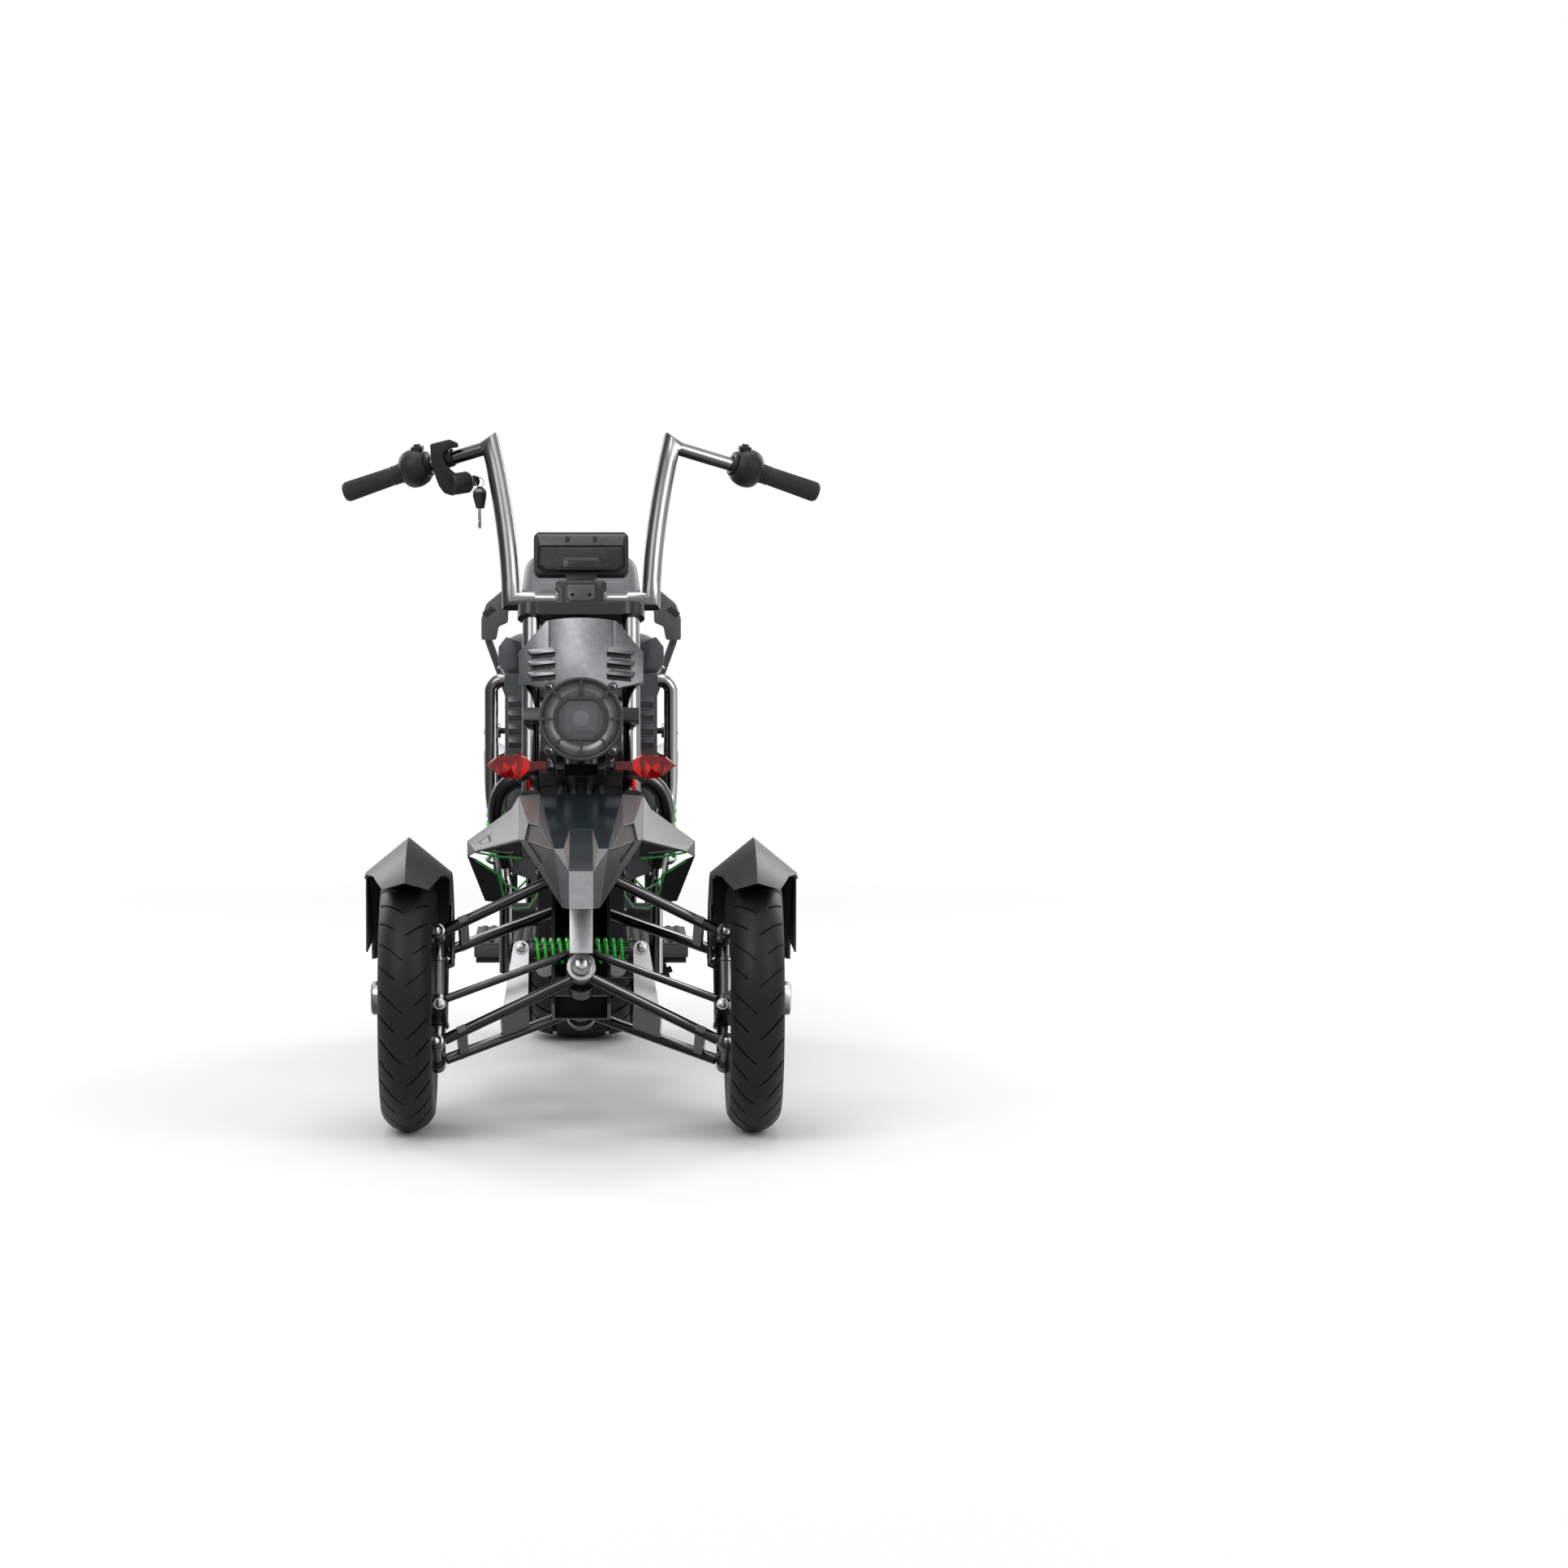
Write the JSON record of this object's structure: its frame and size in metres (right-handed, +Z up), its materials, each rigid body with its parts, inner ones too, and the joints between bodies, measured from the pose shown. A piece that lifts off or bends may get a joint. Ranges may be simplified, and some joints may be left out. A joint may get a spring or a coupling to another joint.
{
  "type": "electric tricycle",
  "caption": "Electric tricycle with steered front wheels on tilting double wishbones, a crosswise coil-over, tall chrome handlebar, caged headlight, faceted nose and a wide hub-motor rear wheel",
  "frame": {"origin": "on the ground, under the middle of the length and width", "axes": "+Z up, -Y to the front, +X to the rider's left"},
  "size_m": [0.8952, 1.8042, 1.2254],
  "materials": {
    "frame_black": "satin",
    "column_grey": "satin",
    "arm_grey": "satin",
    "aluminium": "satin",
    "spring_green": "gloss",
    "nose_dark": "gloss",
    "wing_grey": "gloss",
    "lens_amber": "gloss",
    "body_grey": "gloss",
    "case_black": "matte",
    "chrome": "polished",
    "board_grey": "matte",
    "lens_red": "gloss",
    "leather": "matte",
    "rubber": "matte",
    "lens_clear": "clear",
    "fender_black": "gloss",
    "tyre": "matte"
  },
  "bodies": {
    "chassis": {"main_frame": "frame_black", "floor_frame": "frame_black", "seat_frame": "frame_black", "front_column": "column_grey", "upper_arms": "arm_grey", "lower_arms": "arm_grey", "spring_levers": "aluminium", "springs": "spring_green", "dampers": "arm_grey", "uprights": "arm_grey", "nose_fairing": "nose_dark", "nose_wings": "wing_grey", "nose_lenses": "lens_amber", "leg_shield": "body_grey", "battery_case": "case_black", "tank_cover": "body_grey", "guard_tubes": "chrome", "footboards": "board_grey", "rear_lamps": "lens_red", "seat": "leather", "backrest": "leather", "grab_handles": "case_black", "rear_fender": "case_black", "swingarm": "frame_black"},
    "steering": {"fork_clamps": "frame_black", "fork_tubes": "chrome", "handlebar": "chrome", "grips": "rubber", "switch_pods": "case_black", "bar_clamp": "case_black", "display": "case_black", "headlight_shroud": "body_grey", "headlight_bowl": "case_black", "headlight_grille": "frame_black", "headlight_lens": "lens_clear", "turn_signals": "lens_red", "key_lock": "case_black"},
    "left_knuckle": {"knuckle_left": "arm_grey", "fender_left": "fender_black"},
    "right_knuckle": {"knuckle_right": "arm_grey", "fender_right": "fender_black"},
    "left_wheel": {"tyre_left": "tyre", "rim_left": "aluminium"},
    "right_wheel": {"tyre_right": "tyre", "rim_right": "aluminium"},
    "rear_wheel": {"tyre_rear": "tyre", "motor_wheel": "aluminium"},
    "left_tie_rod": {"tie_rod_left": "arm_grey"},
    "right_tie_rod": {"tie_rod_right": "arm_grey"},
    "stand": {"side_stand": "frame_black"}
  },
  "joints": [
    {"name": "steering", "type": "hinge", "parent": "chassis", "child": "steering", "pos_m": [0, -0.64011, 0.2335], "axis": [0, 0.4384, 0.8988], "range_deg": [-25, 25]},
    {"name": "left_kingpin", "type": "hinge", "parent": "chassis", "child": "left_knuckle", "pos_m": [0.252, -0.64011, 0.2335], "axis": [0, 0.4384, 0.8988], "range_deg": [-25, 25]},
    {"name": "right_kingpin", "type": "hinge", "parent": "chassis", "child": "right_knuckle", "pos_m": [-0.252, -0.64011, 0.2335], "axis": [0, 0.4384, 0.8988], "range_deg": [-25, 25]},
    {"name": "left_wheel_spin", "type": "hinge", "parent": "left_knuckle", "child": "left_wheel", "pos_m": [0.3015, -0.64011, 0.2335], "axis": [1, 0, 0], "continuous": true},
    {"name": "right_wheel_spin", "type": "hinge", "parent": "right_knuckle", "child": "right_wheel", "pos_m": [-0.3015, -0.64011, 0.2335], "axis": [1, 0, 0], "continuous": true},
    {"name": "rear_wheel_spin", "type": "hinge", "parent": "chassis", "child": "rear_wheel", "pos_m": [0, 0.63989, 0.235], "axis": [1, 0, 0], "continuous": true},
    {"name": "left_tie_rod_swing", "type": "hinge", "parent": "steering", "child": "left_tie_rod", "pos_m": [0.012, -0.71103, 0.3048], "axis": [0, 0.4384, 0.8988], "range_deg": [-27.2, 27.2]},
    {"name": "right_tie_rod_swing", "type": "hinge", "parent": "steering", "child": "right_tie_rod", "pos_m": [-0.012, -0.71103, 0.3048], "axis": [0, 0.4384, 0.8988], "range_deg": [-27.2, 27.2]},
    {"name": "stand_fold", "type": "hinge", "parent": "chassis", "child": "stand", "pos_m": [0.15, -0.17011, 0.224], "axis": [-0.9311, 0, -0.3649], "range_deg": [0, 100]}
  ],
  "couplings": [
    {"joint": "left_kingpin", "follows": "steering", "ratio": 1},
    {"joint": "right_kingpin", "follows": "steering", "ratio": 1},
    {"joint": "left_tie_rod_swing", "follows": "steering", "ratio": -1.0862},
    {"joint": "right_tie_rod_swing", "follows": "steering", "ratio": -1.0862}
  ]
}
